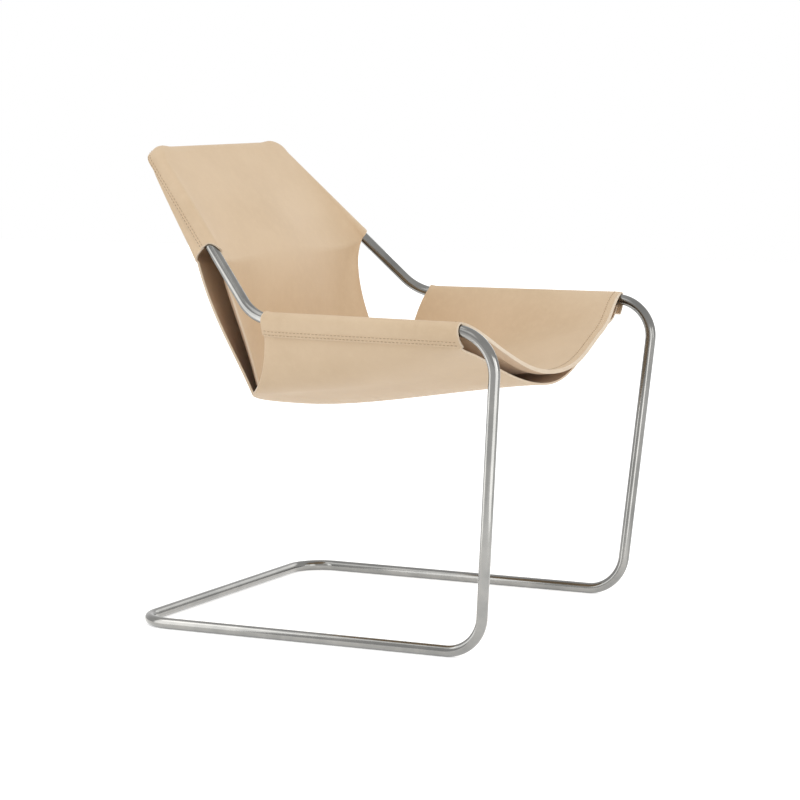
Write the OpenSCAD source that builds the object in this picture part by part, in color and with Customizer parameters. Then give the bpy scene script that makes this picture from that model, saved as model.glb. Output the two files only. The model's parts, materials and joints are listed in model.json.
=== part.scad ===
// Cantilever armchair: one bent steel bar, and a leather cover of two panels that hangs in it as a sling.
// Millimetres, +Z up, +X to the sitter's left, the sitter faces -Y.
// Origin on the floor, at the middle of the chair's own box.

/* [Bar] */
// Diameter of the solid round bar
bar_d = 19; // [17:0.5:22]
// Bend radius at the floor's front corners, on the bar's axis
foot_bend_r = 67; // [50:1:80]
// Bend radius between arm and front leg
arm_bend_r = 67; // [50:1:80]
// Bend radius between arm and back post
post_bend_r = 87; // [60:1:100]
// Bend radius at the floor's rear corners
rear_bend_r = 63; // [45:1:80]
// Bend radius at the top corners of the back
top_bend_r = 28; // [24:1:60]

/* [Frame] */
// Half width at the arms' front corners, where the chair is widest
arm_front_half_w = 351; // [320:1:390]
// How much further in each front leg stands on the floor
leg_splay = 43; // [20:1:60]
// How much wider apart the runners are at the rear
runner_flare = 3; // [0:1:20]
// Half length of the runners, corner to corner
runner_half_l = 323; // [280:1:360]
// How far the arms' front corners reach forward
arm_front_reach = 369; // [340:1:400]
// Height of the arms' front corners
arm_front_h = 537; // [500:1:580]
// How much further in the arm ends, where it meets the post
arm_taper = 34; // [15:1:50]
// How far back arm and post meet
arm_rear_back = 85; // [60:1:110]
// How much the arm rises to the post
arm_rise = 1; // [0:1:20]
// How much further in the post ends, at the back's top corner
post_taper = 105; // [80:1:120]
// How far the back leans back, from the arms to the top bar
back_rake = 248; // [220:1:270]
// Height of the top bar above the arms
back_h = 265; // [240:1:290]

/* [Cover] */
// Thickness of the leather
leather_t = 3; // [2.4:0.1:3.4]
// Play between bar and leather
bar_play = 1.2; // [1.1:0.1:1.6]
// How far the sleeve's front end reaches into the bend between arm and front leg
sleeve_front_set = 10.6; // [0:0.1:12]
// How far the sleeve's rear end reaches into the bend between arm and post
sleeve_rear_set = 17.2; // [10:0.1:28]
// From that bend's upper end to the sleeve's mouth on the post, along the bar's inner side
mouth_set = 107.6; // [90:0.1:130]
// How much further up the mouth is cut on the bar's front
mouth_rise_front = 3; // [0:0.5:6]
// How much further up again it is cut on the bar's outer side
mouth_rise_outer = 16; // [8:0.5:22]
// How far the inner panel reaches down outside the arm, from the bar's axis
arm_flap_l = 27; // [25:0.5:32]
// How far the inner panel reaches back outside the post
post_flap_l = 13; // [12.5:0.5:16]
// How far the arm flap turns in under the bar at its front end
flap_turn_front = 18; // [10:1:20]
// How far the arm flap turns in at its rear end
flap_turn_rear = 5; // [2:1:8]
// Width of the folded hem along the seat's front edge
hem_w = 18; // [12:1:24]

/* [Seat form] */
// Drop of the seat's front edge below the arms, at its middle
seat_front_drop = 93.7; // [70:0.1:110]
// How far the seat's front edge lies behind the arms' front corners
seat_front_set = 36.7; // [30:0.1:55]
// Drop of the seat's deepest line, where it turns into the back
seat_rear_drop = 146.7; // [130:0.1:165]
// How far that line lies behind the corner of arm and post
seat_rear_back = 53.7; // [45:0.1:75]
// Drop of the side notch's point below the arm, inner panel
notch_drop = 120.7; // [105:0.1:130]
// How far the notch's point lies inwards from the arm
notch_in = 73; // [60:1:90]
// How far the notch's point lies behind the corner of arm and post
notch_back = 31.7; // [25:0.1:45]
// Space between the two panels at the middle of the seat's front edge
front_gap = 24; // [20:1:34]
// Space between the two panels at the seat's deepest line
rear_gap = 21; // [18:1:30]
// How far behind the post's line the back sags at its middle
back_sag = 23.8; // [20:0.1:35]
// Play behind the post inside the cover at the sleeve's mouth
mouth_gap = 26; // [14:1:32]

/* [Stitching] */
// Diameter of the thread
thread_d = 1.1; // [0.8:0.1:1.4]
// Length of one stitch
stitch_l = 4.5; // [3:0.5:6]
// Distance from stitch to stitch
stitch_pitch = 7; // [6.5:0.5:10]

/* [Hidden] */
$fn = 48;

// ---- small helpers
function mix(a, b, t) = a + (b - a) * t;
function clamp(t) = min(1, max(0, t));
function smooth(t) = let (c = clamp(t)) c * c * (3 - 2 * c);
function unit(a) = a / norm(a);
function bez(a, b, c, d, t) =
    let (s = 1 - t) a * s * s * s + b * 3 * s * s * t + c * 3 * s * t * t + d * t * t * t;
function flip(p) = [-p.x, p.y, p.z];

// ---- the bar's corners on the sitter's left, where the straight axes cross
bar_r = bar_d / 2;
foot_half_w = arm_front_half_w - leg_splay;
arm_rear_half_w = arm_front_half_w - arm_taper;
arm_rear_h = arm_front_h + arm_rise;
top_half_w = arm_rear_half_w - post_taper;
top_back = arm_rear_back + back_rake;
top_h = arm_rear_h + back_h;
rear_corner = [foot_half_w + runner_flare, runner_half_l, bar_r];
foot_corner = [foot_half_w, -runner_half_l, bar_r];
arm_corner = [arm_front_half_w, -arm_front_reach, arm_front_h];
post_corner = [arm_rear_half_w, arm_rear_back, arm_rear_h];
top_corner = [top_half_w, top_back, top_h];

// a bend between two straights: [start, centre, outward at the start, tangent at the start, turn]
function setback(a, b, c, r) = r * tan(turn(a, b, c) / 2);
function turn(a, b, c) = 180 - acos(unit(a - b) * unit(c - b));
function bend_centre(a, b, c, r) =
    b + unit(unit(a - b) + unit(c - b)) * r / cos(turn(a, b, c) / 2);
function bend_start(a, b, c, r) = b + unit(a - b) * setback(a, b, c, r);
function bend_point(a, b, c, r, deg) =
    let (m = bend_centre(a, b, c, r), x = unit(bend_start(a, b, c, r) - m), y = unit(b - a))
    [m + (x * cos(deg) + y * sin(deg)) * r, y * cos(deg) - x * sin(deg)];

// ---- the bar's axis from the arm's front corner to the middle of the top bar, by its length
post_set = setback(arm_corner, post_corner, top_corner, post_bend_r);
top_set = setback(post_corner, top_corner, flip(top_corner), top_bend_r);
s_arm = norm(arm_corner - post_corner) - post_set;
s_bend = s_arm + post_bend_r * turn(arm_corner, post_corner, top_corner) * PI / 180;
s_post = s_bend + norm(top_corner - post_corner) - post_set - top_set;
s_corner = s_post + top_bend_r * turn(post_corner, top_corner, flip(top_corner)) * PI / 180;
s_mid = s_corner + top_half_w - top_set;
s_half = (s_post + s_corner) / 2;
function axis(s) =
    s <= s_arm ? [arm_corner + unit(post_corner - arm_corner) * s, unit(post_corner - arm_corner)]
    : s <= s_bend ? bend_point(arm_corner, post_corner, top_corner, post_bend_r,
        (s - s_arm) / post_bend_r * 180 / PI)
    : s <= s_post ? [post_corner + unit(top_corner - post_corner) * (post_set + s - s_bend),
        unit(top_corner - post_corner)]
    : s <= s_corner ? bend_point(post_corner, top_corner, flip(top_corner), top_bend_r,
        (s - s_post) / top_bend_r * 180 / PI)
    : [top_corner - [top_set + s - s_corner, 0, 0], [-1, 0, 0]];

// the side of the bar that the leather lies on: up on the arms, the back's own normal above them
back_up = unit([0, top_back - arm_rear_back, top_h - arm_rear_h]);
back_face = [0, -back_up.z, back_up.y];
// [axis point, face direction, outward direction]
function seat_at(s) =
    let (a = axis(s), f = s <= s_bend ? [0, 0, 1] : back_face, n = unit(f - a[1] * (f * a[1])))
    [a[0], n, cross(a[1], n)];

// ---- where the cover starts and ends along the bar, and its distance from the axis
s_front = setback(foot_corner, arm_corner, post_corner, arm_bend_r) - sleeve_front_set;
s_rear = s_arm + sleeve_rear_set;
sleeve_l = s_rear - s_front;
s_mouth = s_bend + mouth_set;
// below the bar the flap hangs straight down on the arm, and square to the back on the post
function hang(s, f) = s < s_bend ? [0, 0, 1] : f[1];
wrap_r = bar_r + bar_play + leather_t / 2;
lap_gap = leather_t * 1.27;
mouth_blend_l = bar_d * 3;
// share of the way from the arm's flap to the post's
function on_post(s) = smooth((s - s_arm) / (s_bend - s_arm + mouth_blend_l));
function flap_l(s) = mix(arm_flap_l, post_flap_l, on_post(s));
function flap_turn(s) =
    s >= s_bend ? 0 : mix(flap_turn_front, flap_turn_rear, clamp((s - s_front) / (s_bend - s_front)));
// how far in the flap has turned at a share of its length, as its two steps draw it
function turned(s, share) = flap_turn(s) * max(share / 2, share * 1.5 - 0.5);
function turn_slope(s, share) = flap_turn(s) / flap_l(s) * (share > 0.5 ? 1.5 : 0.5);
// the mouth on the post is cut in an arch: out is -1 on the bar's inner side and 1 on its outer side
flap_rise_share = 0.15;
function mouth_rise(out, behind) =
    mouth_rise_front * (1 + min(out, 0)) + mouth_rise_outer * max(out, 0) + behind * flap_rise_share;
function leaned(s, out, behind) =
    s < s_mouth ? s : s + mouth_rise(out, behind) * (1 - smooth((s - s_mouth) / mouth_blend_l));
// the leather stands a little proud of the bar round the top corners
corner_lift = leather_t * 0.8;
function lift(s) = s < s_post ? 0 : corner_lift * sin(90 * clamp((s - s_post) / (s_half - s_post)))
    * (s > s_corner ? 1 - smooth((s - s_corner) / top_bend_r) : 1);

// ---- grid of a panel: belly, flap and wrap columns to each side, seat, notch, post and top rows
belly_n = 5;
seat_n = 8;
notch_n = 6;
post_n = 6;
row_v = seat_n;
row_m = row_v + notch_n;
row_t = row_m + post_n;
arc_n = 4;
drop_n = 2;
in_flap_n = 3;
in_side_n = in_flap_n + arc_n + drop_n;
out_flap_n = 4;
out_side_n = out_flap_n + 1;

// ---- form of the inner panel
notch_in_pt = post_corner + [-notch_in, notch_back, -notch_drop];
mid_h = (arm_front_h + arm_rear_h) / 2;
in_front = [0, -arm_front_reach + seat_front_set, arm_front_h - seat_front_drop];
in_rear = [0, arm_rear_back + seat_rear_back, arm_rear_h - seat_rear_drop];
mouth_axis = seat_at(s_mouth)[0];
in_mouth_mid = [0, mouth_axis.y, mouth_axis.z] - back_face * (back_sag - wrap_r);
in_top = [0, top_back, top_h] + back_face * wrap_r;
// handles of the middle line, as shares of the stretch that they shape
seat_l = norm(in_rear - in_front);
rise_l = norm(in_mouth_mid - in_rear);
back_l = norm(in_top - in_mouth_mid);
front_handle_shares = [0, 0.315, -0.028];
rear_handle_shares = [0, 0.19, 0.026];
low_handle_shares = [0, 0.18, 0.03];
mouth_handle_shares = [0, 0.12, 0.27];
back_low_handle_shares = [0, 0.12, 0.27];
back_top_handle_shares = [0, 0.18, 0.27];
function in_mid(part, t) =
    part == "seat" ? bez(in_front, in_front + seat_l * front_handle_shares,
        in_rear - seat_l * rear_handle_shares, in_rear, t)
    : part == "notch" ? bez(in_rear, in_rear + rise_l * low_handle_shares,
        in_mouth_mid - rise_l * mouth_handle_shares, in_mouth_mid, t)
    : bez(in_mouth_mid, in_mouth_mid + back_l * back_low_handle_shares,
        in_top - back_l * back_top_handle_shares, in_top, t);

// the line from the front edge to the notch's point, where flat seat turns into steep side
side_line_share = 0.6;
front_rise_share = 0.535;
front_bow_share = 0.24;
side_sag_share = 0.074;
in_side_front = [arm_front_half_w * side_line_share, in_front.y + seat_front_set * front_bow_share,
    in_front.z + seat_front_drop * front_rise_share];
function sagged(a, b, sag, t) = bez(a, mix(a, b, 1 / 3) - [0, 0, sag], mix(a, b, 2 / 3) - [0, 0, sag], b, t);
function in_side_line(t) = sagged(in_side_front, notch_in_pt, notch_drop * side_sag_share, t);

// angle on the bar where the leather comes off it: inwards on the arms, behind the post at its mouth
arm_off_front = 10;
arm_off_rear = 58;
post_off_mouth = 80;
post_off_power = 1.5;
function post_off(s) = post_off_mouth * pow(1 - clamp((s - s_mouth) / (s_half - s_mouth)), post_off_power);

// a point on the inner panel round the bar: k 0 to 1 round it to the outside, 1 to 2 down the flap
function wrap_in(s, k, off) =
    let (deg = mix(-off, 90, min(k, 1)), d = max(k - 1, 0) * flap_l(s), r = wrap_r + lift(s),
        f = seat_at(leaned(s, sin(deg), d)))
    k <= 1 ? f[0] + (f[1] * cos(deg) + f[2] * sin(deg)) * r
    : f[0] + f[2] * (r - turned(s, k - 1)) - hang(s, f) * d;
function arc_steps(n) = [for (i = [1 : n]) i / n];
flap_steps = [for (i = [1 : drop_n]) 1 + i / drop_n];
// leaves the bar along this direction, inwards
function off_dir(f, off) = -f[1] * sin(off) - f[2] * cos(off);

// half a section: from the middle out to the side line or the bar
function belly(mid, side, dir, a, b) =
    [for (j = [0 : belly_n]) bez(mid, mid + [a, 0, 0], side - dir * b, side, j / belly_n)];
function steps(a, b, c, d, n) = [for (i = [1 : n]) bez(a, b, c, d, i / n)];

notch_dir_y = -0.86;
belly_reach_share = 0.33;
side_reach_share = 0.31;
function in_seat_row(t) =
    let (s = mix(s_front, s_rear, t), off = mix(arm_off_front, arm_off_rear, t),
        f = seat_at(s), side = in_side_line(t), on_bar = wrap_in(s, 0, off),
        dir = unit([1, notch_dir_y * smooth(t), mix(0.37, 0.2, t)]),
        reach = norm(on_bar - side) * 0.35, away = off_dir(f, off) + [0, 0.35 * t, 0])
    concat(
        belly(in_mid("seat", t), side, dir, side.x * mix(0.45, belly_reach_share * 1.36, t),
            side.x * side_reach_share),
        steps(side, side + dir * reach, on_bar + away * reach, on_bar, in_flap_n),
        [for (k = concat(arc_steps(arc_n), flap_steps)) wrap_in(s, k, off)]);

// the inner panel's free edge, from the notch's point to the sleeve's mouth on the post
in_mouth_side = wrap_in(s_mouth, 0, post_off_mouth);
function in_edge(t) =
    let (l = norm(in_mouth_side - notch_in_pt))
    bez(notch_in_pt, notch_in_pt + l * [-0.118, 0.179, 0.412], in_mouth_side + l * [-0.092, 0.046, -0.16],
        in_mouth_side, t);
function in_notch_row(t) =
    let (side = in_edge(t), f = seat_at(s_mouth),
        dir = unit(mix(unit([1, notch_dir_y, 0.2]), -off_dir(f, post_off_mouth * 0.75), smooth(t * 1.15))))
    belly(in_mid("notch", t), side, dir, side.x * mix(0.45, belly_reach_share, t),
        side.x * mix(side_reach_share, 0.16, t));
// the rows run straight along the top bar, and turn to that over the upper part of the back
straight_share = 0.3;
function straighter(t) = smooth((t - 1 + straight_share) / straight_share);
function in_post_row(s) =
    let (t = clamp((s - s_mouth) / (s_half - s_mouth)), off = post_off(s), on_bar = wrap_in(s, 0, off),
        f = seat_at(leaned(s, -sin(off), 0)), n = in_flap_n + arc_n)
    concat(
        belly(in_mid("post", t), on_bar, unit(mix(-off_dir(f, off * 0.75), [1, 0, 0], straighter(t))),
            on_bar.x * belly_reach_share, on_bar.x * mix(0.16, 0.3, t)),
        [for (k = concat(arc_steps(n), flap_steps)) wrap_in(s, k, off)]);

// places of the rows along the post, and of the columns along the top bar from its middle outwards
post_rows_at = [s_mouth, mix(s_mouth, s_post, 0.2), mix(s_mouth, s_post, 0.45), mix(s_mouth, s_post, 0.72),
    s_post, mix(s_post, s_half, 0.5)];
top_columns_at = [s_mid, mix(s_mid, s_corner, 0.4), mix(s_mid, s_corner, 0.78), s_corner,
    mix(s_corner, s_half, 0.5), s_half];
in_ring = concat([0], arc_steps(in_flap_n + arc_n), flap_steps);
// rows of the seat: the hem's own two, a step behind it, then even ones
hem_share = hem_w / seat_l;
bend_share = (s_arm - s_front) / sleeve_l;
seat_shares = concat([0, hem_share, hem_share * 1.06], [for (i = [1 : seat_n - 3])
    mix(hem_share, bend_share, i / (seat_n - 3))], [1]);
in_rows = concat(
    [for (t = seat_shares) in_seat_row(t)],
    [for (i = [1 : notch_n - 1]) in_notch_row(i / notch_n)],
    [for (s = post_rows_at) in_post_row(s)],
    [concat([for (s = top_columns_at) wrap_in(s, 0, 0)],
        [for (w = [1 : in_side_n]) wrap_in(s_half, in_ring[w], 0)])],
    [for (w = [1 : in_side_n]) [for (s = top_columns_at) wrap_in(s, in_ring[w], 0)]]);

// ---- form of the outer panel, set off from the inner one
out_front = in_front + [0, seat_front_set * 0.436, -front_gap];
out_rear = in_rear + [0, rear_gap * 0.57, -rear_gap];
out_mouth_mid = in_mouth_mid - back_face * (bar_d + leather_t * 3.2);
out_top = [0, top_back, top_h] - back_face * wrap_r;
notch_out_pt = notch_in_pt + [leather_t * 0.6, leather_t * 3.5, -leather_t * 4.4];
out_notch_dir = [1, -0.659, 0.244];
out_rise_l = norm(out_mouth_mid - out_rear);
out_back_l = norm(out_top - out_mouth_mid);
out_front_handle_shares = [0, 0.32, -0.021];
out_rear_handle_shares = [0, 0.19, 0.038];
out_low_handle_shares = [0, 0.17, 0.032];
out_mouth_handle_shares = [0, 0.1, 0.3];
function out_mid(part, t) =
    part == "seat" ? bez(out_front, out_front + seat_l * out_front_handle_shares,
        out_rear - seat_l * out_rear_handle_shares, out_rear, t)
    : part == "notch" ? bez(out_rear, out_rear + out_rise_l * out_low_handle_shares,
        out_mouth_mid - out_rise_l * out_mouth_handle_shares, out_mouth_mid, t)
    : bez(out_mouth_mid, out_mouth_mid + out_back_l * out_mouth_handle_shares,
        out_top - out_back_l * back_top_handle_shares, out_top, t);
out_side_front = [in_side_front.x * 1.09, out_front.y + seat_front_set * 0.19, out_front.z + front_gap * 2.04];
// towards the front edge the outer panel draws back under the inner one's hem
function front_part(t) = 1 - smooth(t * 4);
function out_side_line(t) = sagged(out_side_front, notch_out_pt, notch_drop * side_sag_share * 1.1, t)
    + [0, seat_front_set * 0.245, seat_front_drop * 0.075] * front_part(t);

// the outer panel's tucked edge under the flap: k 0 at the flap's end, 1 at its own upper edge
lap_top_arm = arm_flap_l * 0.45;
lap_low_arm = arm_flap_l;
lap_top_post = post_flap_l * 0.7;
lap_low_post = post_flap_l;
function tucked(s, k) =
    let (d = mix(mix(lap_low_arm, lap_top_arm, k), mix(lap_low_post, lap_top_post, k), on_post(s)),
        f = seat_at(leaned(s, 1, d)), q = d / flap_l(s), slope = turn_slope(s, q))
    f[0] + f[2] * (wrap_r + lift(s) - lap_gap * sqrt(1 + slope * slope) - turned(s, q)) - hang(s, f) * d;
play_power = 0.6;
function play_behind(s) = mouth_gap * pow(1 - clamp((s - s_mouth) / (s_post - s_mouth)), play_power);
// behind the post: k 0 where it comes off inwards, 1 at the lap's lower end, 2 at the tucked edge
behind_out_share = 0.8;
function wrap_out(s, k) =
    let (g = play_behind(s), f = seat_at(leaned(s, behind_out_share, 0)), low = tucked(s, 0),
        back = f[0] - f[1] * (wrap_r + g + lift(s) / 2) - f[2] * leather_t * 0.7)
    k <= 1 ? bez(back, back + f[2] * bar_r * 0.7, low - f[1] * (leather_t + g * 0.6), low, k) : tucked(s, k - 1);

function out_seat_row(t) =
    let (s = mix(s_front + leather_t * 3, s_rear, t), f = seat_at(s), side = out_side_line(t), lap = tucked(s, 0),
        dir = unit(mix([1, 0, 0.36], out_notch_dir, smooth(t))), l = norm(lap - side),
        away = unit(-hang(s, f) - f[2] * mix(0.5, 0.09, t)))
    concat(
        belly(out_mid("seat", t), side, dir, side.x * mix(0.42, 0.45, t),
            side.x * mix(side_reach_share * 1.05, 0.2, front_part(t))),
        steps(side, side + dir * l * mix(0.6, 0.385, t), lap + away * l * mix(0.1, 0.453, t), lap, out_flap_n),
        [tucked(s, 1)]);
out_mouth_side = wrap_out(s_mouth, 0);
function out_edge(t) =
    let (l = norm(out_mouth_side - notch_out_pt))
    bez(notch_out_pt, notch_out_pt + l * [0.021, 0.102, 0.246], out_mouth_side + l * [-0.059, -0.073, -0.397],
        out_mouth_side, t);
function out_notch_row(t) =
    let (side = out_edge(t), dir = unit(mix(unit(out_notch_dir), unit([1, -0.7, 0.1]), smooth(t * 1.6))))
    belly(out_mid("notch", t), side, dir, side.x * mix(0.45, 0.36, t), side.x * mix(side_reach_share, 0.18, t));
function out_post_row(s) =
    let (t = clamp((s - s_mouth) / (s_half - s_mouth)), f = seat_at(s), side = wrap_out(s, 0),
        dir = unit(mix(unit([1, -0.7, 0.1]), f[2], smooth(t * 3))))
    concat(
        belly(out_mid("post", t), side, unit(mix(dir, [1, 0, 0], straighter(t))),
            side.x * mix(0.36, belly_reach_share, t), side.x * mix(0.18, 0.22, t)),
        [for (k = concat(arc_steps(out_flap_n), [2])) wrap_out(s, k)]);
out_ring = concat([0], arc_steps(out_flap_n), [2]);
out_rows = concat(
    [for (t = seat_shares) out_seat_row(t)],
    [for (i = [1 : notch_n - 1]) out_notch_row(i / notch_n)],
    [for (s = post_rows_at) out_post_row(s)],
    [concat([for (s = top_columns_at) wrap_out(s, 0)],
        [for (w = [1 : out_side_n]) wrap_out(s_half, out_ring[w])])],
    [for (w = [1 : out_side_n]) [for (s = top_columns_at) wrap_out(s, out_ring[w])]]);

// ---- a panel's mesh: cells of a grid with the side notches left out, closed into one thick sheet
// half width of row i, in columns; the top rows share their outer column with the corner's last row
function half_n(side, i) = i <= row_v || (i >= row_m && i <= row_t) ? belly_n + side
    : i < row_m ? belly_n : belly_n - 1;
function row_start(side, i) = i == 0 ? 0 : row_start(side, i - 1) + 2 * half_n(side, i - 1) + 1;
function starts(side) = [for (i = [0 : row_t + side + 1]) row_start(side, i)];
function cell_is(side, i, j) =
    i >= 0 && i < row_t + side && j >= -belly_n - side && j < belly_n + side
    && (i < row_v || (i >= row_m && i < row_t) || (j >= -belly_n && j < belly_n));
// [row, column] of the vertex that really is used for a grid place
function place(i, j) = i > row_t && abs(j) == belly_n ? [row_t, sign(j) * (belly_n + i - row_t)] : [i, j];
function at(rows, i, j) =
    let (p = place(i, j), q = rows[p[0]][abs(p[1])]) p[1] < 0 ? flip(q) : q;
function index(side, first, i, j) = let (p = place(i, j)) first[p[0]] + p[1] + half_n(side, p[0]);
function cell_normal(rows, i, j) =
    cross(at(rows, i + 1, j + 1) - at(rows, i, j), at(rows, i + 1, j) - at(rows, i, j + 1));
function sum(v) = [for (q = v) 1] * v;
// the cells round a vertex, with those across the folded corner
function round_cells(side, i, j) =
    let (w = abs(j) - belly_n, c = j > 0 ? belly_n - 1 : -belly_n,
        own = [[i - 1, j - 1], [i - 1, j], [i, j - 1], [i, j]],
        other = i == row_t && w > 0 ? [[i + w - 1, c], [i + w, c]] : [])
    [for (q = concat(own, other)) if (cell_is(side, q[0], q[1])) q];
function vertex_normal(rows, side, i, j) =
    unit(sum([for (q = round_cells(side, i, j)) unit(cell_normal(rows, q[0], q[1]))]));
function face_points(rows, side, out) =
    [for (i = [0 : row_t + side]) for (j = [-half_n(side, i) : half_n(side, i)])
        at(rows, i, j) + vertex_normal(rows, side, i, j) * (out > 0 ? leather_t / 2 : -leather_t / 2
            - (side == in_side_n && i < 2 && abs(j) < belly_n + in_flap_n ? leather_t : 0))];
function glued(i, j, edge) = (i == row_t - 1 && edge == 2 && (j >= belly_n || j < -belly_n))
    || (i >= row_t && ((edge == 1 && j == belly_n - 1) || (edge == 3 && j == -belly_n)));
function sheet_faces(side) =
    let (first = starts(side), n = row_start(side, row_t + side + 1), nothing = 0)
    [for (i = [0 : row_t + side - 1]) for (j = [-belly_n - side : belly_n + side - 1])
        if (cell_is(side, i, j))
            let (a = index(side, first, i, j), b = index(side, first, i, j + 1),
                c = index(side, first, i + 1, j + 1), d = index(side, first, i + 1, j),
                ring = [a, b, c, d], near = [[i - 1, j], [i, j + 1], [i + 1, j], [i, j - 1]])
            each concat(j < 0 ? [[a, d, b], [b, d, c], [a + n, b + n, d + n], [b + n, c + n, d + n]]
                    : [[a, d, c], [a, c, b], [a + n, b + n, c + n], [a + n, c + n, d + n]],
                [for (e = [0 : 3]) if (!cell_is(side, near[e][0], near[e][1]) && !glued(i, j, e))
                    each wall(ring[e], ring[(e + 1) % 4], n, j < 0)])];
// the sheet's edge wall from p to q, its diagonal turned over on the sitter's right
function wall(p, q, n, turned_over) =
    turned_over ? [[p, q, p + n], [q, q + n, p + n]] : [[p, q, q + n], [p, q + n, p + n]];
module sheet(rows, side) {
    polyhedron(points = concat(face_points(rows, side, 1), face_points(rows, side, -1)),
        faces = sheet_faces(side));
}

// ---- the chair's box is centred on the origin
in_face = face_points(in_rows, in_side_n, 1);
arm_bend_mid = bend_centre(foot_corner, arm_corner, post_corner, arm_bend_r);
arm_bend_axis = unit(cross(foot_corner - arm_corner, post_corner - arm_corner));
front_y = arm_bend_mid.y - arm_bend_r * sqrt(1 - arm_bend_axis.y * arm_bend_axis.y) - bar_r;
rear_y = max(runner_half_l + bar_r, max([for (p = in_face) p.y]));
module placed() translate([0, -(front_y + rear_y) / 2, 0]) children();

// ---- bar pieces
module framed(x, y, z, at_point)
    multmatrix([[x.x, y.x, z.x, at_point.x], [x.y, y.y, z.y, at_point.y], [x.z, y.z, z.z, at_point.z],
        [0, 0, 0, 1]]) children();
module rod(a, b, d) {
    z = unit(b - a);
    x = unit(cross(z, abs(z.x) > 0.5 ? [0, 0, 1] : [1, 0, 0]));
    framed(x, cross(z, x), z, a) cylinder(h = norm(b - a), d = d);
}
// straight between two bends
module straight(before, a, b, after, r_a, r_b)
    color("silver") placed()
        rod(bend_start(b, a, before, r_a), bend_start(a, b, after, r_b), bar_d);
module bend(a, b, c, r) {
    m = bend_centre(a, b, c, r);
    x = unit(bend_start(a, b, c, r) - m);
    y = unit(b - a);
    color("silver") placed() framed(x, y, cross(x, y), m)
        rotate_extrude(angle = turn(a, b, c)) translate([r, 0]) circle(d = bar_d);
}
module mirrored(left) {
    if (left) children();
    else mirror([1, 0, 0]) children();
}

module rear_floor_bar() straight(foot_corner, rear_corner, flip(rear_corner), flip(foot_corner),
    rear_bend_r, rear_bend_r);
module rear_bend(left) mirrored(left) bend(flip(rear_corner), rear_corner, foot_corner, rear_bend_r);
module runner(left) mirrored(left)
    straight(flip(rear_corner), rear_corner, foot_corner, arm_corner, rear_bend_r, foot_bend_r);
module foot_bend(left) mirrored(left) bend(rear_corner, foot_corner, arm_corner, foot_bend_r);
module front_leg(left) mirrored(left)
    straight(rear_corner, foot_corner, arm_corner, post_corner, foot_bend_r, arm_bend_r);
module arm_bend(left) mirrored(left) bend(foot_corner, arm_corner, post_corner, arm_bend_r);
module arm(left) mirrored(left)
    straight(foot_corner, arm_corner, post_corner, top_corner, arm_bend_r, post_bend_r);
module post_bend(left) mirrored(left) bend(arm_corner, post_corner, top_corner, post_bend_r);
module post(left) mirrored(left)
    straight(arm_corner, post_corner, top_corner, flip(top_corner), post_bend_r, top_bend_r);
module top_bend(left) mirrored(left) bend(post_corner, top_corner, flip(top_corner), top_bend_r);
module top_bar() straight(post_corner, top_corner, flip(top_corner), flip(post_corner),
    top_bend_r, top_bend_r);

// ---- cover
module inner_panel() color("tan") placed() sheet(in_rows, in_side_n);
module outer_panel() color("burlywood") placed() sheet(out_rows, out_side_n);

// ---- stitches lie on the inner panel's outer face, along grid lines at a share of a cell
in_starts = starts(in_side_n);
thread_play = 0.15;
thread_sides = 6;
function face_at(i, j) = in_face[index(in_side_n, in_starts, i, j)];
function face_normal(i, j) = let (p = place(i, j)) vertex_normal(in_rows, in_side_n, p[0], p[1]);
function mix4(a, b, c, d, u, v) = mix(mix(a, b, v), mix(d, c, v), u);
// point above cell (i, j) at shares u along the rows' order and v along the columns'
function above(i, j, u, v) =
    mix4(face_at(i, j), face_at(i, j + 1), face_at(i + 1, j + 1), face_at(i + 1, j), u, v)
    + unit(mix4(face_normal(i, j), face_normal(i, j + 1), face_normal(i + 1, j + 1), face_normal(i + 1, j), u, v))
        * (thread_d / 2 + thread_play);
// stitches across one cell, from one point to another
module stitches(a, b) {
    n = max(1, round(norm(b - a) / stitch_pitch));
    for (k = [0 : n - 1]) {
        m = mix(a, b, (k + 0.5) / n);
        rod(m - unit(b - a) * stitch_l / 2, m + unit(b - a) * stitch_l / 2, thread_d, $fn = thread_sides);
    }
}
double_row_shares = [0.35, 0.78];
outer_cell = belly_n + in_side_n - 1;
module rows_down(first_row, last_row)
    color("white") placed() for (i = [first_row : last_row - 1]) for (v = double_row_shares)
        stitches(above(i, outer_cell, 0, v), above(i, outer_cell, 1, v));
module arm_stitching(left) mirrored(left) rows_down(2, row_v);
module post_stitching(left) mirrored(left) rows_down(row_m, row_t - 1);
module top_stitching()
    color("white") placed() for (j = [-belly_n + 2 : belly_n - 3]) for (u = double_row_shares)
        stitches(above(row_t + in_side_n - 1, j, u, 0), above(row_t + in_side_n - 1, j, u, 1));
hem_row_share = 0.82;
module hem_stitching()
    color("white") placed() for (j = [-belly_n - in_flap_n + 1 : belly_n + in_flap_n - 2])
        stitches(above(0, j, hem_row_share, 0), above(0, j, hem_row_share, 1));

rear_floor_bar();
rear_bend(true);  // rear_corner_left
rear_bend(false);  // rear_corner_right
runner(true);  // runner_left
runner(false);  // runner_right
foot_bend(true);  // foot_bend_left
foot_bend(false);  // foot_bend_right
front_leg(true);  // front_leg_left
front_leg(false);  // front_leg_right
arm_bend(true);  // arm_bend_left
arm_bend(false);  // arm_bend_right
arm(true);  // arm_left
arm(false);  // arm_right
post_bend(true);  // post_bend_left
post_bend(false);  // post_bend_right
post(true);  // post_left
post(false);  // post_right
top_bend(true);  // top_corner_left
top_bend(false);  // top_corner_right
top_bar();
inner_panel();
outer_panel();
arm_stitching(true);  // arm_stitching_left
arm_stitching(false);  // arm_stitching_right
post_stitching(true);  // post_stitching_left
post_stitching(false);  // post_stitching_right
top_stitching();
hem_stitching();
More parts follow.
